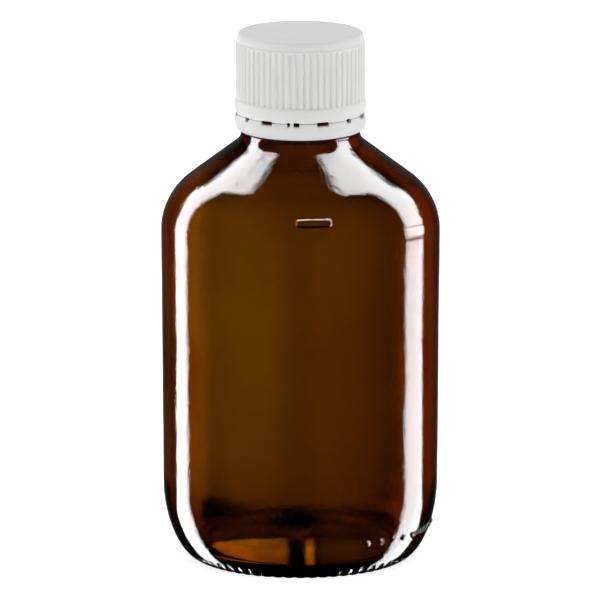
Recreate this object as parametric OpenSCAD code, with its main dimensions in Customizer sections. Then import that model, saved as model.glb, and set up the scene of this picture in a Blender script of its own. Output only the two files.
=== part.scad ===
/* [Glass body] */
// Width of the oval body across its wide side
body_w = 67.5; // [64:0.5:72]
// Depth of the oval body from front to back
body_d = 46; // [42:0.5:50]
// Squareness of the oval body section, where 2 is a true ellipse
body_square = 2.1; // [2:0.1:2.6]
// Width of the ring that the bottle stands on
base_w = 52.4; // [48:0.2:56]
// Depth of the ring that the bottle stands on
base_d = 42; // [38:0.2:42]
// Height at which the curved heel has become the upright wall
heel_h = 18; // [12:1:24]
// Fullness of the heel curve, where 2 is a quarter ellipse
heel_full = 1.8; // [1.5:0.1:2.4]
// Slope of the shoulders above the horizontal, in degrees
shoulder_angle = 36.5; // [32:0.5:42]
// Radius from the upright wall into the shoulder
shoulder_r = 16.4; // [10:0.2:17]
// Height at which the shoulder meets the neck collar
shoulder_h = 106.3; // [105:0.1:106.4]
// Thickness of the side walls
wall = 2.4; // [2:0.1:3]
// Thickness of the base at its ring
base_t = 3.2; // [2.8:0.1:5]
// Rise of the hollow under the base
push_up = 1.2; // [0.6:0.1:2]

/* [Mould marks] */
// Length of the raised bar on the front of the shoulder
bar_l = 8.8; // [4:0.2:12]
// Height of the raised bar
bar_h = 2.2; // [1:0.1:3]
// Height of the bar above the surface that the bottle stands on
bar_z = 89; // [86:0.5:93]
// Distance of the bar from the middle of the front
bar_x = 3.2; // [-6:0.2:6]
// Number of raised dots round the heel
heel_dots = 9; // [0:1:12]
// Diameter of each dot
dot_d = 1.3; // [0.8:0.1:1.6]

/* [Neck finish] */
// Height of the sealing rim above the surface that the bottle stands on
bottle_h = 128; // [128:0.1:130]
// Diameter of the pouring bore
bore_d = 18.4; // [17:0.1:19]
// Diameter at the root of the thread
neck_d = 25; // [24.6:0.1:25.4]
// Diameter over the crest of the thread
thread_d = 27.3; // [26.8:0.1:27.6]
// Rise of the thread in one turn
pitch = 3.18; // [3:0.01:3.4]
// Number of turns in the thread of the neck
thread_turns = 1.75; // [1.25:0.25:2]
// Diameter of the bead that holds the tamper band down
lock_bead_d = 28.2; // [27.6:0.1:28.4]
// Diameter of the collar below the tamper band
collar_d = 28.9; // [28.6:0.1:29.4]

/* [Screw cap] */
// Thickness of the top of the cap
cap_top_t = 1.6; // [1.2:0.1:2]
// Height from the top of the cap down to the slit
cap_h = 19.3; // [19:0.1:20]
// Diameter over the ribs
cap_d = 31.2; // [31:0.1:31.4]
// Number of grip ribs
ribs = 60; // [48:4:72]
// Depth of the grooves between the ribs
rib_depth = 0.4; // [0.3:0.05:0.5]
// Thickness of the sealing disc
liner_t = 1.2; // [0.8:0.1:1.6]

/* [Tamper band] */
// Outside diameter of the band and of the smooth ring above the slit
band_d = 31.7; // [31.5:0.1:32]
// Height of the band
band_h = 3.9; // [3.6:0.1:4]
// Gap of the slit between cap and band
slit = 0.2; // [0.15:0.05:0.3]
// Number of repeats of the window pattern round the slit
window_sets = 7; // [5:1:9]
// Depth of the windows cut into the top of the band
window_depth = 0.75; // [0.4:0.05:0.8]

/* [Hidden] */
$fn = 120;
amber = [0.36, 0.15, 0.02];
white_plastic = [0.93, 0.93, 0.91];
foam = [0.97, 0.97, 0.95];

// Heights up the neck
cap_top_z = bottle_h + liner_t + cap_top_t;
skirt_z = cap_top_z - cap_h;
band_top_z = skirt_z - slit;
band_bottom_z = band_top_z - band_h;
collar_top_z = band_bottom_z - 0.4;
lock_bead_z = band_top_z - 0.9;
thread_z = bottle_h - 2.9 - thread_turns * pitch;
rib_top_z = cap_top_z - 2.4;
rib_foot_z = skirt_z + 3.45;

// Radii in the fit between neck and closure
thread_gap = 0.3;
cap_bore_r = thread_d / 2 + thread_gap;
cap_crest_r = neck_d / 2 + thread_gap + 0.05;
lower_bore_r = lock_bead_d / 2 + 0.2;
liner_r = cap_bore_r - 0.25;
cap_thread_turns = 2;

// Glass body sections are rings of points, each given as [height, half width, half depth, squareness]
around = 60;
neck_fillet = 2.7;
inner_neck_r = 11.5;
inner_fillet = 5;
inner_base_inset = 2.6;
inner_floor_rise = 0.2;
inner_heel_h = heel_h + 3;

// The turned neck sinks this far into the top edge of the body, and stands this far off both its faces
neck_sink = 0.3;
neck_lap = 0.1;

function lerp(p, q, t) = p + (q - p) * t;

function reversed(list) = [for (i = [len(list) - 1 : -1 : 0]) list[i]];

// A quarter ellipse in the turned profiles that leaves p level and reaches q upright
function bend(p, q, steps = 6) = [
    for (t = [0 : 90 / steps : 90]) [lerp(p[0], q[0], sin(t)), lerp(p[1], q[1], 1 - cos(t))]
];

// The heel swings out from the standing ring at its foot, at turn 0, to the upright wall, at turn 90
function heel_ring(w, d, foot_w, foot_d, foot_z, top_z, turn) =
    let (up = 1 - pow(cos(turn), 2 / heel_full),
         out = pow(sin(turn), 2 / heel_full))
    [lerp(foot_z, top_z, up), lerp(foot_w, w, out) / 2, lerp(foot_d, d, out) / 2, body_square];

function heel(w, d, foot_w, foot_d, foot_z, top_z, steps) = [
    for (i = [0 : steps - 1]) heel_ring(w, d, foot_w, foot_d, foot_z, top_z, 90 * i / steps)
];

// The shoulder is an arc, a straight slope and a reversed arc that ends upright at the neck radius
function shoulder_outline(half_w, neck_r, r1, r2, top_z) =
    let (turn = 90 - shoulder_angle,
         run = half_w - neck_r - (r1 + r2) * (1 - cos(turn)),
         slope = run / cos(shoulder_angle),
         start_z = top_z - (r1 + r2) * sin(turn) - slope * sin(shoulder_angle))
    concat(
        [for (t = [0 : turn / 6 : turn + 0.01]) [half_w - r1 * (1 - cos(t)), start_z + r1 * sin(t)]],
        [for (t = [turn : -turn / 4 : -0.01]) [neck_r + r2 * (1 - cos(t)), top_z - r2 * sin(t)]]
    );

function shoulder(half_w, half_d, neck_r, r1, r2, top_z) = [
    for (p = shoulder_outline(half_w, neck_r, r1, r2, top_z))
        let (share = (p[0] - neck_r) / (half_w - neck_r))
        [p[1], p[0], lerp(neck_r, half_d, share), lerp(2, body_square, share)]
];

// A dished floor, from near its middle out to its rim
function floor_rings(w, d, rim_z, rise) = [
    for (f = [0.15, 0.45, 0.7, 0.88]) [rim_z + rise * (1 - f * f), f * w / 2, f * d / 2, body_square]
];

shoulder_neck_r = collar_d / 2 - neck_lap;
outer_outline = shoulder_outline(body_w / 2, shoulder_neck_r, shoulder_r, neck_fillet, shoulder_h);

outer_rings = concat(
    floor_rings(base_w - 5, base_d - 5, 0, push_up),
    [[0, base_w / 2 - 2.2, base_d / 2 - 2.2, body_square]],
    heel(body_w, body_d, base_w, base_d, 0, heel_h, 10),
    [[heel_h, body_w / 2, body_d / 2, body_square]],
    shoulder(body_w / 2, body_d / 2, shoulder_neck_r, shoulder_r, neck_fillet, shoulder_h)
);

inner_w = body_w - 2 * wall;
inner_d = body_d - 2 * wall;
inner_rings = concat(
    floor_rings(base_w - 9, base_d - 9, base_t, inner_floor_rise),
    heel(inner_w, inner_d, base_w - 2 * inner_base_inset, base_d - 2 * inner_base_inset,
         base_t, inner_heel_h, 7),
    [[inner_heel_h, inner_w / 2, inner_d / 2, body_square]],
    shoulder(inner_w / 2, inner_d / 2, inner_neck_r, shoulder_r - wall, inner_fillet, shoulder_h)
);

function side(x, square) = sign(x) * pow(abs(x), 2 / square);

function ring_point(ring, t) = [ring[1] * side(cos(t), ring[3]), ring[2] * side(sin(t), ring[3]), ring[0]];

function ring_points(ring) = [for (k = [0 : around - 1]) ring_point(ring, 360 * k / around)];

// Triangles between ring i and ring i + 1 of the chain that starts at point 0
function band_faces(i) = [
    for (k = [0 : around - 1], upper = [0, 1])
        let (a = i * around + k,
             b = i * around + (k + 1) % around)
        upper == 0 ? [a, a + around, b] : [b, a + around, b + around]
];

// One closed skin: up the outside, over the top edge and down the inside, with a fan at each floor
module glass_shell() {
    chain = concat(outer_rings, reversed(inner_rings));
    rings = len(chain);
    points = [for (ring = chain) each ring_points(ring)];
    under = [0, 0, push_up];
    inside = [0, 0, base_t + inner_floor_rise];
    first = len(points);
    last_ring = (rings - 1) * around;
    polyhedron(
        points = concat(points, [under, inside]),
        faces = concat(
            [for (i = [0 : rings - 2]) each band_faces(i)],
            [for (k = [0 : around - 1]) [first, k, (k + 1) % around]],
            [for (k = [0 : around - 1]) [first + 1, last_ring + (k + 1) % around, last_ring + k]]
        ),
        convexity = 8
    );
}

// Height share of a thread at t turns from its start, so that both ends run out smoothly
function run_out(t, turns) = min(1, t / 0.12, (turns - t) / 0.12);

// A helical ridge whose section runs from root_r, root_w wide, to crest_r, crest_w wide
module ridge(root_r, crest_r, root_w, crest_w, turns, z) {
    steps = ceil(turns * 36);
    points = [
        for (i = [0 : steps])
            let (t = turns * i / steps,
                 share = max(0.02, run_out(t, turns)),
                 crest = lerp(root_r, crest_r, share),
                 c = cos(360 * t),
                 s = sin(360 * t),
                 zt = z + pitch * t)
            each [for (p = [[root_r, -root_w], [crest, -crest_w], [crest, crest_w], [root_r, root_w]])
                  [p[0] * c, p[0] * s, zt + p[1] / 2]]
    ];
    inward = crest_r < root_r;
    sides = [
        for (i = [0 : steps - 1], k = [0 : 3])
            let (a = 4 * i + k,
                 b = 4 * i + (k + 1) % 4)
            each [[a, b, a + 4], [b, b + 4, a + 4]]
    ];
    ends = [[0, 3, 2], [0, 2, 1], [4 * steps, 4 * steps + 1, 4 * steps + 2],
            [4 * steps, 4 * steps + 2, 4 * steps + 3]];
    faces = concat(sides, ends);
    polyhedron(
        points = points,
        faces = inward ? [for (f = faces) [f[2], f[1], f[0]]] : faces,
        convexity = 6
    );
}

// Turned glass above the shoulder: collar, undercut, locking bead, thread root and sealing rim
module neck_finish() {
    r = neck_d / 2;
    bead = lock_bead_d / 2;
    rotate_extrude()
        polygon([
            [inner_neck_r + neck_lap, shoulder_h - neck_sink],
            [collar_d / 2, shoulder_h - neck_sink],
            [collar_d / 2, collar_top_z - 0.4],
            [collar_d / 2 - 0.4, collar_top_z],
            [r + 0.1, collar_top_z],
            [r + 0.1, lock_bead_z - 0.5],
            [bead - 0.1, lock_bead_z - 0.15],
            [bead, lock_bead_z],
            [bead - 0.5, lock_bead_z + 0.65],
            [r, lock_bead_z + 1.2],
            [r, bottle_h - 0.9],
            [r - 0.25, bottle_h - 0.3],
            [r - 0.9, bottle_h],
            [bore_d / 2 + 0.5, bottle_h],
            [bore_d / 2, bottle_h - 0.5],
            [bore_d / 2, collar_top_z + 0.8],
            [inner_neck_r + neck_lap, shoulder_h + 0.1]
        ]);
}

// A bar with round ends, laid on the slope where the front wall starts to turn into the shoulder
module front_bar() {
    relief = 0.35;
    sunk = 0.8;
    swing = 3;
    lean = asin((bar_z - outer_outline[0][1]) / shoulder_r);
    front_share = 1 - shoulder_r * (1 - cos(lean)) / (body_w / 2 - shoulder_neck_r);
    front_y = -lerp(shoulder_neck_r, body_d / 2, front_share);
    tilt = atan(tan(lean) * (body_d / 2 - shoulder_neck_r) / (body_w / 2 - shoulder_neck_r));
    reach = (bar_l - bar_h) / 2;
    translate([bar_x, front_y, bar_z])
        rotate([90 - tilt, 0, swing])
            translate([0, 0, -sunk]) {
                translate([-reach, -bar_h / 2, 0])
                    cube([2 * reach, bar_h, sunk + relief]);
                for (x = [-reach, reach])
                    translate([x, 0, 0])
                        cylinder(d = bar_h, h = sunk + relief, $fn = 32);
            }
}

// A row of small domes at one height of the heel, from near the middle of the right end towards the front
module dots() {
    first_turn = 5;
    dot_step = 7;
    sunk = 0.25;
    ring = heel_ring(body_w - 2 * sunk, body_d - 2 * sunk, base_w, base_d, 0, heel_h, 57);
    for (i = [0 : heel_dots - 1])
        let (p = ring_point(ring, -first_turn - dot_step * i))
            translate(p)
                sphere(d = dot_d, $fn = 24);
}

module bottle() {
    color(amber)
        union() {
            glass_shell();
            neck_finish();
            ridge(neck_d / 2 - 0.3, thread_d / 2, 2.1, 0.8, thread_turns, thread_z);
            front_bar();
            dots();
        }
}

// One rounded rib, each point as [share of the step between ribs, share of the groove's depth]
rib_profile = [[-0.42, 0], [-0.26, 0.8], [-0.12, 1], [0.12, 1], [0.26, 0.8], [0.42, 0]];

module rib_outline() {
    tip = cap_d / 2;
    root = tip - rib_depth;
    step = 360 / ribs;
    polygon([
        for (k = [0 : ribs - 1], p = rib_profile)
            let (a = step * (k + p[0]),
                 r = root + rib_depth * p[1])
            [r * cos(a), r * sin(a)]
    ]);
}

// Turned parts of the cap: the smooth top with its rounded edge, and the swollen ring under the ribs
module cap_turnings() {
    tip = cap_d / 2;
    ring = band_d / 2;
    rotate_extrude()
        polygon(concat(
            [[0, rib_top_z], [0, cap_top_z]],
            bend([tip - 0.9, cap_top_z], [tip - 0.35, cap_top_z - 1.8]),
            [[tip - 0.05, rib_top_z]]
        ));
    rotate_extrude()
        polygon(concat(
            [[0, rib_foot_z + 0.3], [0, skirt_z]],
            bend([ring - 0.4, skirt_z], [ring, skirt_z + 2.4]),
            reversed(bend([tip - 0.1, rib_foot_z + 0.3], [ring, rib_foot_z - 0.6]))
        ));
}

module screw_cap() {
    color(white_plastic) {
        difference() {
            union() {
                cap_turnings();
                translate([0, 0, rib_foot_z - 1])
                    linear_extrude(height = rib_top_z - rib_foot_z + 1.2)
                        rib_outline();
            }
            translate([0, 0, skirt_z - 1])
                cylinder(r = cap_bore_r, h = cap_h - cap_top_t + 1);
            translate([0, 0, skirt_z - 1])
                cylinder(r = lower_bore_r, h = 2.6);
        }
        ridge(cap_bore_r + 0.3, cap_crest_r, 1.7, 0.6, cap_thread_turns, thread_z - pitch / 2);
    }
}

// Laminated sealing disc pressed between the rim and the top of the cap
module liner() {
    color(foam)
        translate([0, 0, bottle_h])
            cylinder(r = liner_r, h = liner_t);
}

// Where the windows open, as [start, width] in degrees within one repeat of the pattern, and one by itself
window_step = 360 / window_sets;
window_starts = [[14.8, 10.8], [45.2, 5.2]];
single_window = [-11.8, 2.3];
bridge_start = 42;
bridge_width = 3.1;
pattern_turn = -90;
windows = concat(
    [for (set = [0 : window_sets - 1], w = window_starts) [set * window_step + w[0], w[1]]],
    [single_window]
);

module tamper_band() {
    outer = band_d / 2;
    inner = lower_bore_r + 0.1;
    hook = lock_bead_d / 2 - 0.6;
    color(white_plastic)
        difference() {
            rotate_extrude()
                polygon(concat(
                    [[inner, band_bottom_z]],
                    bend([outer - 0.65, band_bottom_z], [outer, band_bottom_z + 1.4]),
                    reversed(bend([outer - 0.35, band_top_z], [outer, band_bottom_z + 2.4])),
                    [[inner, band_top_z],
                     [inner, lock_bead_z - 0.3],
                     [hook, lock_bead_z - 0.75],
                     [hook, lock_bead_z - 1.1],
                     [inner, lock_bead_z - 1.8]]
                ));
            for (window = windows)
                rotate(pattern_turn + window[0])
                    translate([0, 0, band_top_z - window_depth])
                        rotate_extrude(angle = window[1])
                            translate([inner - 1, 0])
                                square([outer - inner + 2, window_depth + 1]);
        }
}

// Thin webs across the slit, which tear at the first turn of the cap
module tamper_bridges() {
    color(white_plastic)
        for (set = [0 : window_sets - 1])
            rotate(pattern_turn + set * window_step + bridge_start)
                translate([0, 0, band_top_z])
                    rotate_extrude(angle = bridge_width)
                        translate([band_d / 2 - 1.25, 0])
                            square([0.8, slit]);
}

bottle();
screw_cap();
liner();
tamper_band();
tamper_bridges();
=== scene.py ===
"""Flat oval amber glass medicine bottle with a white tamper-evident screw cap.

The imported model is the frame. Every length is in metres in its row frame: +Z up the neck, +X across
the wide side and -Y out of the front. Each visible piece stands for the CAD node of the same place.
"""
import math

import bpy
import numpy as np
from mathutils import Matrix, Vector, noise


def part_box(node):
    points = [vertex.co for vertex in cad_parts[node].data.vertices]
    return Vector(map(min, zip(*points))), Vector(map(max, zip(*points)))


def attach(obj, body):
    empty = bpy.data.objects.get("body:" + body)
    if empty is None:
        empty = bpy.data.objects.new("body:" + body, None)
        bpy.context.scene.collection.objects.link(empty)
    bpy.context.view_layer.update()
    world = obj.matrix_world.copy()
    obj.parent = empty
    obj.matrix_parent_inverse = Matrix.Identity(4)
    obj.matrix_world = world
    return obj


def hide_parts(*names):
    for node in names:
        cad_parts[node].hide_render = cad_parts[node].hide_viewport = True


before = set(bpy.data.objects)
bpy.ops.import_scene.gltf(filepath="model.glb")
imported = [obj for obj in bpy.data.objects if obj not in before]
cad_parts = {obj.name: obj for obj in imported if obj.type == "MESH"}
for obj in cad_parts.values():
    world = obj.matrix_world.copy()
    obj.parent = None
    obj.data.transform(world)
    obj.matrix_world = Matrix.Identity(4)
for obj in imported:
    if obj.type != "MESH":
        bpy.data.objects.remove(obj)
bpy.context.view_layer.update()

MM = 0.001
DEG = math.pi / 180

# ---------------------------------------------------------------- sizes that the frame gives
bottle_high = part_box("bottle")[1]
cap_low, cap_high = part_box("screw_cap")
band_low, band_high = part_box("tamper_band")
liner_low, liner_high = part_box("liner")
web_low, web_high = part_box("tamper_bridges")

HALF_W = bottle_high.x
HALF_D = bottle_high.y
RIM_Z = bottle_high.z
CAP_TOP_Z = cap_high.z
SKIRT_Z = cap_low.z
BAND_TOP_Z = band_high.z
BAND_FOOT_Z = band_low.z
BAND_R = band_high.x
LINER_R = liner_high.x

# ---------------------------------------------------------------- sizes of the glass body
SQUARE = 2.1
BASE_HALF_W = 26.2 * MM
BASE_HALF_D = 21 * MM
HEEL_H = 18 * MM
HEEL_FULL = 1.8
SHOULDER_TURN = 53.5 * DEG
SHOULDER_R = 16.4 * MM
SHOULDER_Z = 106.3 * MM
NECK_FILLET = 2.7 * MM
WALL = 2.4 * MM
PUSH_UP = 1.2 * MM
RING_W = 2.2 * MM
INNER_NECK_R = 11.5 * MM
INNER_FILLET = 5 * MM
INNER_BASE_INSET = 2.6 * MM
INNER_FLOOR_Z = 3.1 * MM
INNER_FLOOR_RISE = 0.15 * MM
INNER_HEEL_H = 21 * MM
INNER_LEAN = 0.5 * MM
INNER_TAPER = 0.15 * MM
INNER_TAPER_Z = 55 * MM

# ---------------------------------------------------------------- swells of the glass: size, height, seed
OUTER_SWELLS = (16 * MM, 0.07 * MM, 1)
OUTER_RIPPLES = (4.5 * MM, 0.012 * MM, 2)
INNER_SWELLS = (22 * MM, 0.2 * MM, 3)
INNER_RIPPLES = (7 * MM, 0.04 * MM, 4)
FLOOR_PUDDLES = (9 * MM, 0.08 * MM, 5)

# ---------------------------------------------------------------- sizes of the neck finish
COLLAR_R = 14.42 * MM
COLLAR_TOP_Z = BAND_FOOT_Z - 0.4 * MM
BEAD_R = 14.1 * MM
BEAD_Z = BAND_TOP_Z - 0.9 * MM
NECK_R = 12.5 * MM
BORE_R = 9.2 * MM
THREAD_R = 13.65 * MM
PITCH = 3.18 * MM
NECK_TURNS = 1.75
THREAD_Z = RIM_Z - 2.9 * MM - NECK_TURNS * PITCH

# ---------------------------------------------------------------- marks moulded in the glass
BAR_X = 3.2 * MM
BAR_Z = 89 * MM
BAR_L = 8.8 * MM
BAR_H = 2.2 * MM
BAR_RELIEF = 0.35 * MM
DOT_COUNT = 9
DOT_FIRST = -5 * DEG
DOT_STEP = -7 * DEG
DOT_TURN = 55.5 * DEG
DOT_R = 0.9 * MM
DOT_RELIEF = 0.5 * MM
KNURLS = 64
KNURL_DEPTH = 0.2 * MM
KNURL_TOP_Z = 2.4 * MM
PART_LINE_Z = 86 * MM
PART_LINE_DEPTH = 0.08 * MM
PART_LINE_W = 0.3 * MM
SEAM_RELIEF = 0.05 * MM
SEAM_W = 0.16 * MM

# Shares of a turn, 0 at +X and 0.75 at the front, where rings need more points
SEAM_ENDS = [(-0.004, 0.004), (0.496, 0.504)]
DOT_ZONE = (0.815, 1.0, 3)
BAR_ZONE = (0.735, 0.792, 6)

# ---------------------------------------------------------------- sizes of the closure
RIBS = 60
RIB_DEPTH = 0.46 * MM
RIB_R = 15.58 * MM
RIB_TOP_Z = CAP_TOP_Z - 2.4 * MM
RIB_FOOT_Z = SKIRT_Z + 3.45 * MM
CAP_BORE_R = 13.95 * MM
CAP_CREST_R = 12.85 * MM
CAP_LOWER_R = 14.3 * MM
CAP_TURNS = 2
WINDOW_SETS = 7
WINDOW_STEP = 360 / WINDOW_SETS
WINDOWS = [(14.8, 10.8), (45.2, 5.2)]
SINGLE_WINDOW = (-11.8, 2.3)
WINDOW_DEPTH = 0.65 * MM
WINDOW_NOTCH = 0.25 * MM
WINDOW_FLARE = 3
SLIT_LIP = 0.06 * MM
WEB_START = 42
WEB_WIDTH = 3.1
WEB_WAIST = 0.35
WEB_THICK = 0.8 * MM
PATTERN_TURN = -90

# ---------------------------------------------------------------- looks of the glass
AMBER = (0.697, 0.53, 0.0, 1)
AMBER_DENSITY = 1600.0
WRINKLE_FOOT_Z = 90 * MM
WRINKLE_TOP_Z = 96 * MM

# ---------------------------------------------------------------- table and lit plate
TABLE_GLOW = 0.8
PLATE_HALF_W = BASE_HALF_W - 3.2 * MM
PLATE_HALF_D = 10.5 * MM
PLATE_Y = -7.5 * MM
PLATE_Z = 0.02 * MM
PLATE_REACH = 25 * MM
PLATE_TINT = (0.85, 1, 0.8, 1)
PLATE_MOST = 30.0
# Places from 0 at x = -PLATE_REACH to 1 at x = PLATE_REACH, each with its share of the glow
PLATE_GLOW = [(0.02, 0.7), (0.24, 0.7), (0.3, 0.35), (0.42, 0.3), (0.45, 0.0), (0.52, 0.0), (0.535, 0.5),
              (0.56, 0.5), (0.575, 0.0), (0.61, 0.06), (0.98, 0.1)]

# ---------------------------------------------------------------- panels, seen only in reflections
PANEL_RADIANCE = 21
PANEL_EDGE = 1 * DEG
# Azimuths of the front edge, the back edge, and the back edge high up and low down
LEFT_PANEL = (87 * DEG, 107 * DEG, 125 * DEG, 117 * DEG)
RIGHT_PANEL = (75.5 * DEG, 102 * DEG, 119 * DEG, 112 * DEG)
# Heights in the world are sines of the elevation. Each pair is where a soft edge starts and ends.
WIDENS_ABOVE = (0.15, 0.65)
WIDENS_BELOW = (-0.5, -0.24)
PANEL_ENDS = (math.sin(56 * DEG), math.sin(60 * DEG))
SLANTED_FROM = (math.sin(48.5 * DEG), math.sin(50 * DEG))
OVERHEAD_FROM = (math.sin(66 * DEG), math.sin(70 * DEG))
GAP_FOOT = (-0.212, -0.2)
GAP_TOP = (-0.16, -0.148)
LOWER_HALF_LEVEL = 0.88
WINDOW_FOOT = (-0.41, -0.34)
WINDOW_TOP = (-0.16, -0.06)

# ---------------------------------------------------------------- camera
LENS = 221.4
CAMERA_ELEVATION = 14.95 * DEG
CAMERA_DISTANCE = 0.9
CAMERA_AIM = Vector((-0.12 * MM, 0, 64.35 * MM))


# ---------------------------------------------------------------- helpers for shapes
def lerp(p, q, t):
    return p + (q - p) * t


def smooth(t):
    """0 below 0, 1 above 1, and an even curve between them. It works on numbers and on arrays."""
    t = np.clip(t, 0, 1)
    return t * t * (3 - 2 * t)


def spaced(start, end, step):
    """Values from start towards end about a step apart, with end itself left out."""
    count = max(1, round(abs(end - start) / step))
    return list(np.linspace(start, end, count + 1)[:-1])


def columns(count, zones=()):
    """Turn shares of the points in a ring, from 0 up to 1. A zone (from, to, factor) has that many more."""
    shares = {round(k / count, 9) for k in range(count)}
    for low, high, factor in zones:
        fine = count * factor
        first, last = math.ceil(low * fine), math.floor(high * fine)
        shares |= {round((k / fine) % 1, 9) for k in range(first, last + 1)}
    return np.array(sorted(shares))


def rounded(points, steps=4):
    """A profile of (radius, z, cut) points as (radius, z) points, each corner rounded over its own cut."""
    out = []
    for i, (r, z, cut) in enumerate(points):
        if cut == 0 or i in (0, len(points) - 1):
            out.append((r, z))
            continue
        corner = np.array([r, z])
        ends = []
        for other in (points[i - 1], points[i + 1]):
            edge = np.array(other[:2]) - corner
            ends.append(corner + edge * min(0.48, cut / np.linalg.norm(edge)))
        for t in np.linspace(0, 1, steps + 1):
            p = (1 - t) ** 2 * ends[0] + 2 * t * (1 - t) * corner + t * t * ends[1]
            out.append((p[0], p[1]))
    return out


class Skin:
    """A surface grown from ring to ring. Rings turn anticlockwise from above, and may differ in count."""

    def __init__(self, inside_out=False):
        self.points = []
        self.faces = []
        self.count = 0
        self.first = None
        self.last = None
        self.inside_out = inside_out

    def ring(self, points, shares):
        start = self.count
        self.points.append(points)
        self.count += len(points)
        now = (start, shares)
        if self.last is None:
            self.first = now
        else:
            self.join(self.last, now)
        self.last = now

    def join(self, lower, upper):
        (a, a_shares), (b, b_shares) = lower, upper
        n, m = len(a_shares), len(b_shares)
        i = j = 0
        while i < n or j < m:
            next_a = a_shares[i + 1] if i + 1 < n else (1.0 if i < n else 2.0)
            next_b = b_shares[j + 1] if j + 1 < m else (1.0 if j < m else 2.0)
            p, q = a + i % n, b + j % m
            if abs(next_a - next_b) < 1e-7:
                self.faces.append((p, a + (i + 1) % n, b + (j + 1) % m, q))
                i += 1
                j += 1
            elif next_a < next_b:
                self.faces.append((p, a + (i + 1) % n, q))
                i += 1
            else:
                self.faces.append((p, b + (j + 1) % m, q))
                j += 1

    def tip(self, point):
        """Closes the skin with a fan from its first ring if it has one ring, or from its last ring."""
        start, shares = self.last
        n = len(shares)
        centre = self.count
        self.points.append(np.array([point]))
        self.count += 1
        for k in range(n):
            p, q = start + k, start + (k + 1) % n
            self.faces.append((centre, q, p) if self.last is self.first else (p, q, centre))

    def loop(self):
        """Joins the last ring back to the first."""
        self.join(self.last, self.first)

    def make(self, name, materials, flat_over=None):
        mesh = bpy.data.meshes.new(name)
        faces = [f[::-1] for f in self.faces] if self.inside_out else self.faces
        mesh.from_pydata(np.concatenate(self.points).tolist(), [], faces)
        mesh.validate()
        for material in materials:
            mesh.materials.append(material)
        for polygon in mesh.polygons:
            polygon.use_smooth = True
        if flat_over is not None:
            mesh.set_sharp_from_angle(angle=flat_over)
        piece = bpy.data.objects.new(name, mesh)
        bpy.context.scene.collection.objects.link(piece)
        return piece


def circle(r, z, shares):
    """A ring of points at radius r, which may differ from point to point."""
    turn = 2 * math.pi * shares
    return np.stack([r * np.cos(turn), r * np.sin(turn), np.broadcast_to(z, turn.shape)], 1)


def helix_height(shares, z, start_z, turns, half_foot, half_crest):
    """How far a thread stands up, 0 to 1, at each point of a ring at height z."""
    best = np.zeros(len(shares))
    for k in range(-1, math.ceil(turns) + 1):
        along = shares + k
        ends = np.clip(np.minimum(along, turns - along) / 0.12, 0, 1)
        away = np.abs(z - (start_z + PITCH * along))
        height = smooth((half_foot - away) / (half_foot - half_crest)) * ends
        best = np.maximum(best, height)
    return best


# ---------------------------------------------------------------- the glass bottle
def oval(half_w, half_d, square, shares):
    """Points of one oval section and the directions straight out of it."""
    turn = 2 * math.pi * shares
    c, s = np.cos(turn), np.sin(turn)
    x = np.sign(c) * np.abs(c) ** (2 / square)
    y = np.sign(s) * np.abs(s) ** (2 / square)
    out = np.stack([np.sign(x) * np.abs(x) ** (square - 1) / half_w,
                    np.sign(y) * np.abs(y) ** (square - 1) / half_d], 1)
    out /= np.linalg.norm(out, axis=1)[:, None]
    return np.stack([half_w * x, half_d * y], 1), out


def heel_row(turn, half_w, half_d, foot_half_w, foot_half_d, foot_z, top_z=HEEL_H):
    """One section of the rounded heel, from the foot at turn 0 to the upright wall at a quarter turn."""
    up = 1 - math.cos(turn) ** (2 / HEEL_FULL)
    out = math.sin(turn) ** (2 / HEEL_FULL)
    return (lerp(foot_z, top_z, up), lerp(foot_half_w, half_w, out), lerp(foot_half_d, half_d, out), SQUARE)


def shoulder_rows(half_w, half_d, neck_r, r1, r2, fine=None):
    """Arc, straight slope and reversed arc, from the upright wall to the upright neck."""
    run = half_w - neck_r - (r1 + r2) * (1 - math.cos(SHOULDER_TURN))
    slope_angle = math.pi / 2 - SHOULDER_TURN
    slope = run / math.cos(slope_angle)
    start_z = SHOULDER_Z - (r1 + r2) * math.sin(SHOULDER_TURN) - slope * math.sin(slope_angle)
    turns = spaced(0, SHOULDER_TURN, 0.7 * MM / r1)
    if fine is not None:
        low, high = (math.asin((z - start_z) / r1) for z in fine)
        turns = (spaced(0, low, 0.7 * MM / r1) + spaced(low, high, 0.14 * MM / r1)
                 + spaced(high, SHOULDER_TURN, 0.6 * MM / r1))
    outline = [(half_w - r1 * (1 - math.cos(t)), start_z + r1 * math.sin(t)) for t in turns]
    foot = (half_w - r1 * (1 - math.cos(SHOULDER_TURN)), start_z + r1 * math.sin(SHOULDER_TURN))
    head = (neck_r + r2 * (1 - math.cos(SHOULDER_TURN)), SHOULDER_Z - r2 * math.sin(SHOULDER_TURN))
    outline += [(lerp(foot[0], head[0], t), lerp(foot[1], head[1], t))
                for t in spaced(0, 1, 0.6 * MM / slope)]
    outline += [(neck_r + r2 * (1 - math.cos(t)), SHOULDER_Z - r2 * math.sin(t))
                for t in spaced(SHOULDER_TURN, 0, 0.35 * MM / r2)]
    rows = []
    for r, z in outline:
        share = (r - neck_r) / (half_w - neck_r)
        rows.append((z, r, lerp(neck_r, half_d, share), lerp(2, SQUARE, share)))
    return rows


def floor_rows(half_w, half_d, rim_z, rise):
    """A dished floor from near its middle out to its rim."""
    shares = [0.08, 0.2, 0.35, 0.5, 0.62, 0.74, 0.84, 0.92]
    return [(rim_z + rise * (1 - f * f), f * half_w, f * half_d, SQUARE) for f in shares]


def waves(points, size, amount, seed):
    """Slow swells of a blown surface, as heights at the points."""
    shift = Vector((seed * 7.3, seed * 3.1, seed * 5.7))
    return np.array([amount * noise.noise(Vector(p) / size + shift) for p in points])


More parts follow.
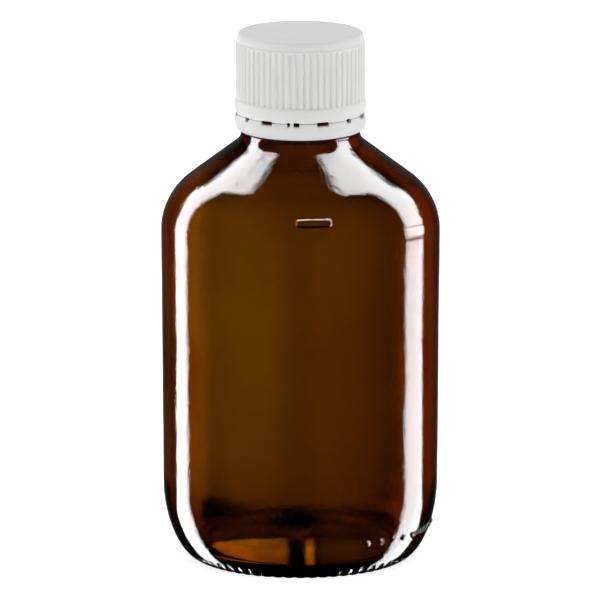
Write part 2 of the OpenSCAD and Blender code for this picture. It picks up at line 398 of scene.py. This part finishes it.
def bar_height(points):
    """The raised bar on the front."""
    reach = (BAR_L - BAR_H) / 2
    dx = np.maximum(np.abs(points[:, 0] - BAR_X) - reach, 0)
    away = np.hypot(dx, points[:, 2] - BAR_Z)
    height = BAR_RELIEF * smooth((BAR_H / 2 - away) / (0.5 * MM))
    return np.where(points[:, 1] < 0, height, 0)


def dot_centres():
    """Where the heel dots sit, all on one section of the heel."""
    row = heel_row(DOT_TURN, HALF_W, HALF_D, BASE_HALF_W, BASE_HALF_D, 0)
    shares = np.array([((DOT_FIRST + DOT_STEP * i) / (2 * math.pi)) % 1 for i in range(DOT_COUNT)])
    flat, _ = oval(row[1], row[2], row[3], shares)
    return [np.array([x, y, row[0]]) for x, y in flat]


def dot_height(points, centres):
    """The row of raised dots round the heel."""
    height = np.zeros(len(points))
    for centre in centres:
        away = np.linalg.norm(points - centre, axis=1) / DOT_R
        height = np.maximum(height, DOT_RELIEF * smooth((1 - away) / 0.6))
    return height


def knurl_height(points, shares):
    """Short bars across the edge that the bottle stands on, cut inwards."""
    wave = 0.5 - 0.5 * np.cos(2 * math.pi * KNURLS * shares)
    return -KNURL_DEPTH * wave ** 2 * smooth((KNURL_TOP_Z - points[:, 2]) / (0.8 * MM))


def seam_height(points):
    """The mould's upright seams at both ends, and the joint between body mould and shoulder mould."""
    upright = SEAM_RELIEF * np.exp(-(points[:, 1] / SEAM_W) ** 2)
    ends = smooth((np.abs(points[:, 0]) - 21 * MM) / (5 * MM))
    level = -PART_LINE_DEPTH * ends * np.exp(-((points[:, 2] - PART_LINE_Z) / PART_LINE_W) ** 2)
    return upright + level


def body_rows_to_skin(skin, rows, shares_of, height_of):
    """Rings of the oval body, each pushed out along its own surface by height_of."""
    for i, (z, half_w, half_d, square) in enumerate(rows):
        before, after = rows[max(0, i - 1)], rows[min(len(rows) - 1, i + 1)]
        dr = (after[1] + after[2] - before[1] - before[2]) / 2
        dz = after[0] - before[0]
        length = math.hypot(dr, dz) or 1
        shares = shares_of(z, i)
        flat, out = oval(half_w, half_d, square, shares)
        points = np.column_stack([flat, np.full(len(shares), z)])
        height = height_of(points, shares)
        push = np.column_stack([out * (dz / length), np.full(len(shares), -dr / length)])
        skin.ring(points + push * height[:, None], shares)


def make_bottle(material):
    """The glass as one closed skin: under the base, up the outside, over the rim and down the inside."""
    skin = Skin()
    centres = dot_centres()

    # Under the base and up the outside
    ring_in_w, ring_in_d = BASE_HALF_W - RING_W, BASE_HALF_D - RING_W
    under = floor_rows(ring_in_w, ring_in_d, 0, PUSH_UP)
    ring = [(0, lerp(ring_in_w, BASE_HALF_W, t), lerp(ring_in_d, BASE_HALF_D, t), SQUARE)
            for t in spaced(0, 1, 0.2)]
    heel_turns = (spaced(0, 0.5, 0.1) + spaced(0.5, 40, 1.3) + spaced(40, 70, 0.6) + spaced(70, 90, 2.5))
    heel = [heel_row(t * DEG, HALF_W, HALF_D, BASE_HALF_W, BASE_HALF_D, 0) for t in heel_turns]
    shoulder = shoulder_rows(HALF_W, HALF_D, COLLAR_R, SHOULDER_R, NECK_FILLET,
                             fine=(BAR_Z - 3.4 * MM, BAR_Z + 1.8 * MM))
    wall = [(z, HALF_W, HALF_D, SQUARE) for z in spaced(HEEL_H, shoulder[0][0], 1.8 * MM)]

    base_columns = columns(160)
    heel_columns = columns(KNURLS * 9, [DOT_ZONE] + [(a, b, 3) for a, b in SEAM_ENDS])
    wall_columns = columns(240, [(a, b, 8) for a, b in SEAM_ENDS])
    bar_columns = columns(240, [BAR_ZONE] + [(a, b, 8) for a, b in SEAM_ENDS])

    def outer_shares(z, i):
        if i < len(under):
            return base_columns
        if i < len(under) + len(ring) + len(heel):
            return heel_columns
        if abs(z - BAR_Z) < 2 * MM:
            return bar_columns
        return wall_columns

    def outer_height(points, shares):
        z = points[0, 2]
        height = waves(points, *OUTER_SWELLS) + waves(points, *OUTER_RIPPLES)
        height *= smooth(z / (4 * MM)) * smooth((SHOULDER_Z - z) / (4 * MM))
        height += seam_height(points) * smooth(z / (3 * MM)) * smooth((SHOULDER_Z - z) / (3 * MM))
        if abs(z - BAR_Z) < 3 * MM:
            height += bar_height(points)
        if abs(z - centres[0][2]) < 2 * MM:
            height += dot_height(points, centres)
        if z < KNURL_TOP_Z:
            height += knurl_height(points, shares)
        return height

    outer = under + ring + heel + wall + shoulder
    skin_start = outer[0]
    flat, _ = oval(skin_start[1], skin_start[2], SQUARE, base_columns)
    skin.ring(np.column_stack([flat, np.full(len(flat), skin_start[0])]), base_columns)
    skin.tip((0, 0, PUSH_UP))
    body_rows_to_skin(skin, outer[1:], lambda z, i: outer_shares(z, i + 1), outer_height)

    # The turned neck, its thread and the rim
    neck_columns = columns(240)
    foot = rounded([
        (COLLAR_R, SHOULDER_Z, 0),
        (COLLAR_R, COLLAR_TOP_Z, 0.35 * MM),
        (NECK_R + 0.1 * MM, COLLAR_TOP_Z, 0.5 * MM),
        (NECK_R + 0.1 * MM, BEAD_Z - 0.5 * MM, 0.3 * MM),
        (BEAD_R, BEAD_Z - 0.1 * MM, 0.25 * MM),
        (BEAD_R - 0.4 * MM, BEAD_Z + 0.6 * MM, 0.3 * MM),
        (NECK_R, BEAD_Z + 1.2 * MM, 0.6 * MM),
        (NECK_R, THREAD_Z - 2 * MM, 0),
    ])
    for r, z in foot:
        skin.ring(circle(r, z, neck_columns), neck_columns)
    for z in spaced(THREAD_Z - 1.8 * MM, RIM_Z - 1 * MM, 0.17 * MM):
        crest = helix_height(neck_columns, z, THREAD_Z, NECK_TURNS, 1.05 * MM, 0.35 * MM)
        skin.ring(circle(NECK_R + (THREAD_R - NECK_R) * crest, z, neck_columns), neck_columns)
    rim = rounded([
        (NECK_R, RIM_Z - 0.95 * MM, 0),
        (NECK_R, RIM_Z, 0.8 * MM),
        (BORE_R, RIM_Z, 0.5 * MM),
        (BORE_R, COLLAR_TOP_Z + 0.8 * MM, 1 * MM),
        (INNER_NECK_R, SHOULDER_Z, 0),
    ], steps=6)
    for r, z in rim[:-1]:
        skin.ring(circle(r, z, neck_columns), neck_columns)

    # Down the inside
    half_w, half_d = HALF_W - WALL, HALF_D - WALL
    foot_w, foot_d = BASE_HALF_W - INNER_BASE_INSET, BASE_HALF_D - INNER_BASE_INSET
    shoulder_in = shoulder_rows(half_w, half_d, INNER_NECK_R, SHOULDER_R - WALL, INNER_FILLET)
    wall_in = [(z, half_w, half_d, SQUARE) for z in spaced(INNER_HEEL_H, shoulder_in[0][0], 2.2 * MM)]
    heel_in = [heel_row(t * DEG, half_w, half_d, foot_w, foot_d, INNER_FLOOR_Z, INNER_HEEL_H)
               for t in spaced(0, 90, 3)]
    floor_in = floor_rows(foot_w - 1.5 * MM, foot_d - 1.5 * MM, INNER_FLOOR_Z, INNER_FLOOR_RISE)
    inner = (floor_in + heel_in + wall_in + shoulder_in)[::-1]
    inner_columns = columns(180)

    def inner_height(points, shares):
        """The glass is thicker towards +X and the base. The lean towards +X fades out at the -X end."""
        z = points[0, 2]
        fade = smooth((z - INNER_FLOOR_Z) / (6 * MM)) * smooth((SHOULDER_Z - z) / (8 * MM))
        off_left_end = smooth((30 * MM + points[:, 0]) / (9 * MM))
        lean = INNER_LEAN * off_left_end * points[:, 0] / HALF_W
        uneven = lean + INNER_TAPER * (1 - z / INNER_TAPER_Z)
        swells = waves(points, *INNER_SWELLS) + waves(points, *INNER_RIPPLES)
        puddles = (1 - fade) * smooth((40 * MM - z) / (10 * MM)) * waves(points, *FLOOR_PUDDLES)
        return fade * (uneven + swells) + puddles

    body_rows_to_skin(skin, inner, lambda z, i: inner_columns, inner_height)
    skin.tip((0, 0, INNER_FLOOR_Z + INNER_FLOOR_RISE))
    return skin.make("glass_bottle", [material])


# ---------------------------------------------------------------- the screw cap
def groove_share(shares):
    """0 on the crest of each rib and 1 in the groove between two, with one crest at the very front."""
    phase = (shares * RIBS + 0.5) % 1 - 0.5
    return smooth((np.abs(phase) - 0.2) / 0.22)


def make_cap(material):
    """The ribbed cap as one closed skin: the top, down the grip, under the skirt and up the bore."""
    skin = Skin(inside_out=True)
    outer_columns = columns(RIBS * 12)
    top_columns = columns(120)
    edge_start, edge_r, edge_foot = 14.7 * MM, 15.27 * MM, CAP_TOP_Z - 1.8 * MM

    # The top and its rounded edge
    skin.ring(circle(0.8 * MM, CAP_TOP_Z, top_columns), top_columns)
    skin.tip((0, 0, CAP_TOP_Z))
    for r in (3 * MM, 6 * MM, 9 * MM, 12 * MM, 14 * MM):
        skin.ring(circle(r, CAP_TOP_Z, top_columns), top_columns)
    profile = []
    for t in spaced(0, 90, 6):
        profile.append((lerp(edge_start, edge_r, math.sin(t * DEG)),
                        lerp(CAP_TOP_Z, edge_foot, 1 - math.cos(t * DEG))))
    for t in spaced(0, 1, 0.12):
        profile.append((lerp(edge_r, RIB_R, smooth(t)), lerp(edge_foot, RIB_TOP_Z, t)))

    # The ribbed grip, the swollen ring under it and the skirt's edge
    for z in (spaced(RIB_TOP_Z, RIB_TOP_Z - 0.9 * MM, 0.12 * MM)
              + spaced(RIB_TOP_Z - 0.9 * MM, RIB_FOOT_Z + 1 * MM, 1.6 * MM)
              + spaced(RIB_FOOT_Z + 1 * MM, RIB_FOOT_Z - 0.5 * MM, 0.1 * MM)):
        swell = smooth((RIB_FOOT_Z + 0.35 * MM - z) / (0.8 * MM))
        profile.append((lerp(RIB_R, BAND_R, swell), z))
    profile += rounded([
        (BAND_R, RIB_FOOT_Z - 0.6 * MM, 0),
        (BAND_R, SKIRT_Z + 1.4 * MM, 1.2 * MM),
        (BAND_R - 0.3 * MM, SKIRT_Z - SLIT_LIP, 0.15 * MM),
        (CAP_LOWER_R, SKIRT_Z - SLIT_LIP, 0.12 * MM),
        (CAP_LOWER_R, SKIRT_Z + 1.6 * MM, 0),
    ], steps=7)
    groove = groove_share(outer_columns)
    notch = WINDOW_NOTCH * window_share(outer_columns)
    for r, z in profile:
        top = np.sqrt(np.clip((RIB_TOP_Z + 0.1 * MM - z) / (0.8 * MM), 0, 1))
        foot = np.sqrt(np.clip((z - RIB_FOOT_Z) / (0.5 * MM), 0, 1))
        on_grip = top * foot if r > RIB_R - 0.6 * MM else 0
        lifted = np.maximum(z, SKIRT_Z + notch) if z < SKIRT_Z + WINDOW_NOTCH else z
        skin.ring(circle(r - RIB_DEPTH * groove * on_grip, lifted, outer_columns), outer_columns)

    # The bore with its thread, and the underside of the top
    bore_columns = columns(240)
    skin.ring(circle(CAP_BORE_R, SKIRT_Z + 1.8 * MM, bore_columns), bore_columns)
    start_z = THREAD_Z - PITCH / 2
    for z in spaced(SKIRT_Z + 2.2 * MM, liner_high.z - 1.2 * MM, 0.2 * MM):
        crest = helix_height(bore_columns, z, start_z, CAP_TURNS, 0.85 * MM, 0.25 * MM)
        skin.ring(circle(lerp(CAP_BORE_R, CAP_CREST_R, crest), z, bore_columns), bore_columns)
    for r, z in rounded([(CAP_BORE_R, liner_high.z - 1.1 * MM, 0), (CAP_BORE_R, liner_high.z, 0.4 * MM),
                         (6 * MM, liner_high.z, 0)]):
        skin.ring(circle(r, z, bore_columns), bore_columns)
    skin.tip((0, 0, liner_high.z))
    return skin.make("cap_shell", [material], flat_over=50 * DEG)


# ---------------------------------------------------------------- the tamper band and its webs
def window_spans():
    """Where the windows open, each as (from, to) in degrees round the band."""
    starts = [(k * WINDOW_STEP + start, width) for k in range(WINDOW_SETS) for start, width in WINDOWS]
    spans = []
    for start, width in starts + [SINGLE_WINDOW]:
        low = (PATTERN_TURN + start) % 360
        spans.append((low, low + width))
    return spans


def window_share(shares, wider=0.0):
    """1 inside a window and 0 outside, with steep ends. Each end may lie some degrees further out."""
    angle = shares * 360
    share = np.zeros(len(shares))
    for low, high in window_spans():
        for shift in (-360, 0):
            inside = np.minimum(angle - low - shift, high + shift - angle)
            share = np.maximum(share, smooth((inside + wider + 0.15) / 0.3))
    return share


def make_band(material):
    """The band under the slit, with its windows and the hook that holds it under the locking bead."""
    skin = Skin()
    zones = []
    for low, high in window_spans():
        for edge in (low, high):
            zones.append(((edge - 0.3) / 360, (edge + 0.3) / 360, 8))
    ring_columns = columns(720, zones)
    opened = window_share(ring_columns)
    opened_inside = window_share(ring_columns, wider=WINDOW_FLARE)
    hook_r = BEAD_R - 0.55 * MM
    inner_r = CAP_LOWER_R + 0.1 * MM
    profile = rounded([
        (inner_r, BEAD_Z - 1.8 * MM, 0),
        (inner_r, BAND_FOOT_Z, 0.15 * MM),
        (BAND_R - 0.65 * MM, BAND_FOOT_Z, 0.25 * MM),
        (BAND_R, BAND_FOOT_Z + 1 * MM, 0.8 * MM),
        (BAND_R, BAND_TOP_Z - 1.2 * MM, 0.7 * MM),
        (BAND_R - 0.3 * MM, BAND_TOP_Z + SLIT_LIP, 0.15 * MM),
        (inner_r, BAND_TOP_Z + SLIT_LIP, 0.12 * MM),
        (inner_r, BEAD_Z - 0.3 * MM, 0.2 * MM),
        (hook_r, BEAD_Z - 0.75 * MM, 0.15 * MM),
        (hook_r, BEAD_Z - 1.1 * MM, 0.15 * MM),
        (inner_r, BEAD_Z - 1.79 * MM, 0),
    ], steps=6)
    for r, z in profile:
        share = opened if r > BAND_R - 0.6 * MM else opened_inside
        lowered = np.minimum(z, lerp(z, BAND_TOP_Z - WINDOW_DEPTH, share))
        skin.ring(circle(r, lowered, ring_columns), ring_columns)
    skin.loop()
    return skin.make("tamper_ring", [material], flat_over=50 * DEG)


def make_webs(material):
    """The thin webs that cross the slit, each a little block that is waisted at its middle."""
    points, faces = [], []
    outer_r = BAND_R - 0.45 * MM
    inner_r = outer_r - WEB_THICK
    across, up = 8, 6
    for k in range(WINDOW_SETS):
        start = PATTERN_TURN + k * WINDOW_STEP + WEB_START
        first = len(points)
        for j in range(up + 1):
            v = j / up
            waist = WEB_WAIST * math.sin(math.pi * v)
            for i in range(across + 1):
                turn = (start + lerp(waist, WEB_WIDTH - waist, i / across)) * DEG
                z = lerp(web_low.z, web_high.z, v)
                for r in (outer_r - 0.1 * MM * math.sin(math.pi * v), inner_r):
                    points.append((r * math.cos(turn), r * math.sin(turn), z))
        row = 2 * (across + 1)
        for j in range(up):
            for i in range(across):
                a = first + j * row + 2 * i
                faces.append((a, a + 2, a + row + 2, a + row))
                faces.append((a + 1, a + row + 1, a + row + 3, a + 3))
            a = first + j * row
            b = a + 2 * across
            faces.append((a, a + row, a + row + 1, a + 1))
            faces.append((b, b + 1, b + row + 1, b + row))
        for i in range(across):
            a = first + 2 * i
            b = a + up * row
            faces.append((a, a + 1, a + 3, a + 2))
            faces.append((b, b + 2, b + 3, b + 1))
    mesh = bpy.data.meshes.new("tamper_webs")
    mesh.from_pydata(points, [], faces)
    mesh.materials.append(material)
    piece = bpy.data.objects.new("tamper_webs", mesh)
    bpy.context.scene.collection.objects.link(piece)
    return piece


def make_liner(film, foam):
    """Foam disc with a film on each face, and the print of the glass rim in its underside."""
    skin = Skin(inside_out=True)
    ring_columns = columns(160)
    low, high = liner_low.z, liner_high.z
    profile = rounded([
        (4 * MM, high, 0),
        (LINER_R, high, 0.12 * MM),
        (LINER_R, low, 0.12 * MM),
        (12.3 * MM, low, 0.2 * MM),
        (12.1 * MM, low + 0.06 * MM, 0.2 * MM),
        (9.5 * MM, low + 0.06 * MM, 0.2 * MM),
        (9.3 * MM, low, 0.2 * MM),
        (4 * MM, low, 0),
    ])
    skin.ring(circle(profile[0][0], profile[0][1], ring_columns), ring_columns)
    skin.tip((0, 0, high))
    for r, z in profile[1:]:
        skin.ring(circle(r, z, ring_columns), ring_columns)
    skin.tip((0, 0, low))
    piece = skin.make("sealing_disc", [film, foam], flat_over=50 * DEG)
    for polygon in piece.data.polygons:
        middle = polygon.center
        if math.hypot(middle.x, middle.y) > LINER_R - 0.08 * MM:
            polygon.material_index = 1
    return piece


# ---------------------------------------------------------------- materials
class Nodes:
    """A material's node tree, with short calls to add and link nodes."""

    def __init__(self, name):
        self.material = bpy.data.materials.new(name)
        self.material.use_nodes = True
        self.tree = self.material.node_tree
        self.tree.nodes.clear()
        self.output = self.add("ShaderNodeOutputMaterial")
        self.shader = self.add("ShaderNodeBsdfPrincipled")
        self.link(self.shader.outputs[0], self.output.inputs["Surface"])
        self.place = self.add("ShaderNodeTexCoord").outputs["Object"]

    def add(self, kind, **values):
        node = self.tree.nodes.new(kind)
        for key, value in values.items():
            node.inputs[key.replace("_", " ")].default_value = value
        return node

    def link(self, source, target):
        self.tree.links.new(source, target)

    def set(self, **values):
        for key, value in values.items():
            self.shader.inputs[key.replace("_", " ")].default_value = value

    def noise(self, per_metre, detail=2.0):
        """A cloudy value of about 0 to 1, with so many clouds to the metre."""
        node = self.add("ShaderNodeTexNoise", Scale=per_metre, Detail=detail)
        self.link(self.place, node.inputs["Vector"])
        return node.outputs["Fac"]

    def span(self, source, low, high):
        """Maps a 0 to 1 value onto low to high."""
        node = self.add("ShaderNodeMapRange")
        node.inputs["To Min"].default_value = low
        node.inputs["To Max"].default_value = high
        self.link(source, node.inputs["Value"])
        return node.outputs["Result"]

    def tint(self, source, first, second):
        """Mixes two colours, the first where source is 0 and the second where it is 1."""
        node = self.add("ShaderNodeMix")
        node.data_type = "RGBA"
        colours = [s for s in node.inputs if s.type == "RGBA"]
        colours[0].default_value = (*first, 1)
        colours[1].default_value = (*second, 1)
        self.link(source, node.inputs["Factor"])
        return [s for s in node.outputs if s.type == "RGBA"][0]

    def bump(self, source, height, before=None):
        """Adds a bump of that height in metres, on top of an earlier one."""
        node = self.add("ShaderNodeBump", Strength=1.0, Distance=height)
        self.link(source, node.inputs["Height"])
        if before is not None:
            self.link(before, node.inputs["Normal"])
        self.link(node.outputs[0], self.shader.inputs["Normal"])
        return node.outputs[0]


def amber_glass():
    """Amber that darkens with depth, with fine grain, orange peel and wrinkles on the shoulder."""
    m = Nodes("amber_glass")
    m.set(Base_Color=(1, 1, 1, 1), IOR=1.5, Transmission_Weight=1.0)
    m.link(m.span(m.noise(90, 3), 0.0, 0.03), m.shader.inputs["Roughness"])
    grain = m.bump(m.noise(2800, 1), 0.014 * MM)
    parts = m.add("ShaderNodeSeparateXYZ")
    m.link(m.place, parts.inputs[0])
    on_shoulder = m.add("ShaderNodeMapRange")
    on_shoulder.inputs["From Min"].default_value = WRINKLE_FOOT_Z
    on_shoulder.inputs["From Max"].default_value = WRINKLE_TOP_Z
    m.link(parts.outputs[2], on_shoulder.inputs["Value"])
    wrinkles = m.add("ShaderNodeMath")
    wrinkles.operation = "MULTIPLY"
    m.link(on_shoulder.outputs[0], wrinkles.inputs[0])
    m.link(m.noise(1100, 2), wrinkles.inputs[1])
    creased = m.bump(wrinkles.outputs[0], 0.05 * MM, before=grain)
    peel = m.bump(m.noise(800, 2), 0.025 * MM, before=creased)
    m.bump(m.noise(200, 1), 0.02 * MM, before=peel)
    absorb = m.add("ShaderNodeVolumeAbsorption", Density=AMBER_DENSITY)
    absorb.inputs["Color"].default_value = AMBER
    m.link(absorb.outputs[0], m.output.inputs["Volume"])
    return m.material


def white_plastic():
    m = Nodes("white_plastic")
    m.set(IOR=1.46, Specular_IOR_Level=0.12)
    m.link(m.tint(m.noise(160, 3), (0.75, 0.75, 0.745), (0.79, 0.79, 0.785)), m.shader.inputs["Base Color"])
    m.link(m.span(m.noise(900, 3), 0.45, 0.6), m.shader.inputs["Roughness"])
    m.bump(m.noise(5200, 3), 0.006 * MM)
    return m.material


def liner_film():
    m = Nodes("liner_film")
    m.set(IOR=1.5)
    m.link(m.tint(m.noise(300, 2), (0.9, 0.9, 0.89), (0.94, 0.94, 0.93)), m.shader.inputs["Base Color"])
    m.link(m.span(m.noise(700, 2), 0.2, 0.32), m.shader.inputs["Roughness"])
    m.bump(m.noise(1400, 2), 0.01 * MM)
    return m.material


def liner_foam():
    m = Nodes("liner_foam")
    m.set(IOR=1.4)
    cells = m.add("ShaderNodeTexVoronoi", Scale=4200.0)
    m.link(m.place, cells.inputs["Vector"])
    m.link(m.tint(m.noise(2500, 3), (0.86, 0.86, 0.84), (0.93, 0.93, 0.92)), m.shader.inputs["Base Color"])
    m.link(m.span(m.noise(900, 2), 0.7, 0.9), m.shader.inputs["Roughness"])
    m.bump(cells.outputs["Distance"], 0.06 * MM)
    return m.material


def glowing_white(name, glow, tint=(1, 1, 1, 1)):
    """The nodes of a matt white that glows."""
    m = Nodes(name)
    m.set(Emission_Color=tint, Emission_Strength=glow)
    m.link(m.tint(m.noise(6, 2), (0.4, 0.4, 0.4), (0.42, 0.42, 0.42)), m.shader.inputs["Base Color"])
    m.link(m.span(m.noise(40, 2), 0.7, 0.85), m.shader.inputs["Roughness"])
    return m


def table_white():
    return glowing_white("table_white", TABLE_GLOW).material


def plate_white():
    """White that glows unevenly from end to end of the plate."""
    m = glowing_white("plate_white", 0, PLATE_TINT)
    parts = m.add("ShaderNodeSeparateXYZ")
    m.link(m.place, parts.inputs[0])
    along = m.add("ShaderNodeMapRange")
    along.inputs["From Min"].default_value = -PLATE_REACH
    along.inputs["From Max"].default_value = PLATE_REACH
    m.link(parts.outputs[0], along.inputs["Value"])
    steps = m.add("ShaderNodeValToRGB")
    for place, level in PLATE_GLOW:
        stop = steps.color_ramp.elements.new(place)
        stop.color = (level, level, level, 1)
    m.link(along.outputs[0], steps.inputs["Fac"])
    uneven = m.add("ShaderNodeMath")
    uneven.operation = "MULTIPLY"
    m.link(steps.outputs["Color"], uneven.inputs[0])
    m.link(m.span(m.noise(110, 1), 0.0, PLATE_MOST), uneven.inputs[1])
    m.link(uneven.outputs[0], m.shader.inputs["Emission Strength"])
    return m.material


# ---------------------------------------------------------------- studio
def make_floor():
    """A white table, and the lit plate in it that the bottle stands on and wholly covers."""
    ring_columns = columns(96)
    skin = Skin(inside_out=True)
    skin.ring(circle(0.2, 0, ring_columns), ring_columns)
    skin.tip((0, 0, 0))
    for r in (0.6, 1.4, 3.0):
        skin.ring(circle(r, 0, ring_columns), ring_columns)
    floor = skin.make("studio_floor", [table_white()])
    floor.visible_glossy = False
    floor.visible_transmission = False

    skin = Skin(inside_out=True)
    plate_ring, _ = oval(PLATE_HALF_W, PLATE_HALF_D, SQUARE, ring_columns)
    plate_ring[:, 1] += PLATE_Y
    skin.ring(np.column_stack([plate_ring, np.full(len(plate_ring), PLATE_Z)]), ring_columns)
    skin.tip((0, PLATE_Y, PLATE_Z))
    plate = skin.make("lit_plate", [plate_white()])


class Sky:
    """The world's node tree, with short calls for sums on directions."""

    def __init__(self):
        world = bpy.data.worlds.new("studio")
        bpy.context.scene.world = world
        world.use_nodes = True
        self.tree = world.node_tree
        self.tree.nodes.clear()
        output = self.tree.nodes.new("ShaderNodeOutputWorld")
        self.background = self.tree.nodes.new("ShaderNodeBackground")
        self.tree.links.new(self.background.outputs[0], output.inputs["Surface"])
        direction = self.tree.nodes.new("ShaderNodeTexCoord")
        axes = self.tree.nodes.new("ShaderNodeSeparateXYZ")
        self.tree.links.new(direction.outputs["Generated"], axes.inputs[0])
        self.x, self.y, self.z = axes.outputs

    def put(self, source, socket):
        if isinstance(source, (int, float)):
            socket.default_value = source
        else:
            self.tree.links.new(source, socket)

    def sum(self, operation, *values):
        node = self.tree.nodes.new("ShaderNodeMath")
        node.operation = operation
        for value, socket in zip(values, node.inputs):
            self.put(value, socket)
        return node.outputs[0]

    def ramp(self, source, low, high, dark=0.0, bright=1.0):
        """dark where source is under low, bright where it is over high, and smooth between."""
        node = self.tree.nodes.new("ShaderNodeMapRange")
        node.interpolation_type = "SMOOTHSTEP"
        for key, value in (("Value", source), ("From Min", low), ("From Max", high),
                           ("To Min", dark), ("To Max", bright)):
            self.put(value, node.inputs[key])
        return node.outputs[0]

    def choose(self, flag, off, on):
        node = self.tree.nodes.new("ShaderNodeMix")
        for source, socket in zip((flag, off, on), (node.inputs[0], node.inputs[2], node.inputs[3])):
            self.put(source, socket)
        return node.outputs[0]


def side_panel(sky, turn, front, back, back_above, back_below):
    """A tall light panel between two azimuths. Its back edge lies further round above and below."""
    above = sky.ramp(sky.z, *WIDENS_ABOVE, 0.0, back_above - back)
    below = sky.ramp(sky.z, *WIDENS_BELOW, back_below - back, 0.0)
    reach = sky.sum("ADD", sky.sum("ADD", above, below), back)
    past_front = sky.ramp(turn, front - PANEL_EDGE, front + PANEL_EDGE)
    before_back = sky.ramp(sky.sum("SUBTRACT", reach, turn), -PANEL_EDGE, PANEL_EDGE)
    return sky.sum("MULTIPLY", past_front, before_back)


def make_world():
    """White behind the bottle. Reflections see a dark room with an upright panel at each side, the right
    one in two halves with a gap, and panels overhead. Through the glass shows a dim field, and matt
    surfaces get soft light from all round."""
    sky = Sky()
    aside = sky.sum("ABSOLUTE", sky.x)
    azimuth = sky.sum("ARCTAN2", sky.x, sky.sum("MULTIPLY", sky.y, -1))
    leftwards = sky.sum("MULTIPLY", azimuth, -1)

    # What reflections see
    left = side_panel(sky, leftwards, *LEFT_PANEL)
    right = side_panel(sky, azimuth, *RIGHT_PANEL)
    beside = sky.sum("MAXIMUM", sky.ramp(leftwards, 48 * DEG, 55 * DEG),
                     sky.ramp(azimuth, 30 * DEG, 44 * DEG))
    slanted = sky.sum("MULTIPLY", beside, sky.ramp(sky.z, *SLANTED_FROM))
    overhead = sky.sum("MAXIMUM", slanted, sky.ramp(sky.z, *OVERHEAD_FROM))
    tall = sky.ramp(sky.sum("ABSOLUTE", sky.z), *PANEL_ENDS, 1.0, 0.0)
    split = sky.sum("MAXIMUM", sky.ramp(sky.z, *GAP_TOP),
                    sky.ramp(sky.z, *GAP_FOOT, LOWER_HALF_LEVEL, 0.0))
    halves = sky.sum("MULTIPLY", right, split)
    uprights = sky.sum("MULTIPLY", sky.sum("MAXIMUM", left, halves), tall)
    panels = sky.sum("MAXIMUM", uprights, overhead)
    room = sky.ramp(sky.y, 0.7, 1.0, 0.01, 0.12)
    mirrored = sky.sum("MAXIMUM", room, sky.sum("MULTIPLY", panels, PANEL_RADIANCE))

    # What shows through the glass
    behind = sky.ramp(sky.sum("ABSOLUTE", sky.y), 0.35, 0.75)
    left_wing = sky.sum("MULTIPLY", sky.ramp(sky.x, -0.22, -0.03, 3.4, 1.0),
                        sky.ramp(sky.x, -0.75, -0.5, 0.3, 1.0))
    wings = sky.sum("MAXIMUM", sky.ramp(sky.x, 0.06, 0.22, 0.0, 6.0), left_wing)
    sides = sky.sum("MAXIMUM", sky.ramp(sky.x, 0.3, 0.9, 0.0, 0.9), sky.ramp(sky.x, -0.9, -0.5, 0.06, 0.0))
    lit = sky.sum("MAXIMUM", sky.sum("MULTIPLY", behind, wings), sides)
    over_foot = sky.sum("ADD", sky.z, sky.ramp(aside, 0.1, 0.35, 0.0, 0.25))
    under_top = sky.sum("SUBTRACT", sky.z, sky.ramp(aside, 0.2, 0.5, 0.0, 0.6))
    window = sky.sum("MULTIPLY", sky.ramp(over_foot, *WINDOW_FOOT),
                     sky.ramp(under_top, *WINDOW_TOP, 1.0, 0.0))
    through = sky.sum("MULTIPLY", lit, window)

    # What lights matt surfaces
    tilt = sky.sum("ADD", sky.ramp(sky.x, -0.9, 0.9, 0.06, -0.06), sky.ramp(sky.z, 0.3, 1.0, 0.0, 0.1))
    ambient = sky.sum("ADD", sky.ramp(aside, 0.3, 0.95, 0.5, 1.1), tilt)
    path = sky.tree.nodes.new("ShaderNodeLightPath")
    strength = sky.choose(path.outputs["Is Glossy Ray"], ambient, mirrored)
    strength = sky.choose(path.outputs["Is Transmission Ray"], strength, through)
    strength = sky.choose(path.outputs["Is Camera Ray"], strength, 1.0)
    sky.put(strength, sky.background.inputs["Strength"])


def make_camera():
    """The camera looks at the middle of the bottle from the front, a little from above."""
    camera = bpy.data.cameras.new("camera")
    camera.sensor_width = 36
    camera.lens = LENS
    holder = bpy.data.objects.new("camera", camera)
    bpy.context.scene.collection.objects.link(holder)
    back = Vector((0, -math.cos(CAMERA_ELEVATION), math.sin(CAMERA_ELEVATION)))
    holder.location = CAMERA_AIM + back * CAMERA_DISTANCE
    holder.rotation_euler = back.to_track_quat("Z", "Y").to_euler()
    bpy.context.scene.camera = holder


# ---------------------------------------------------------------- put it together
bpy.context.scene.view_settings.view_transform = "Standard"
make_camera()
make_world()
make_floor()

glass = amber_glass()
plastic = white_plastic()

bottle = make_bottle(glass)
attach(bottle, "bottle")
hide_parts("bottle")

cap = make_cap(plastic)
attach(cap, "cap")
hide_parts("screw_cap")

band = make_band(plastic)
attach(band, "band")
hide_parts("tamper_band")

webs = make_webs(plastic)
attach(webs, "band")
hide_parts("tamper_bridges")

liner = make_liner(liner_film(), liner_foam())
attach(liner, "liner")
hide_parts("liner")
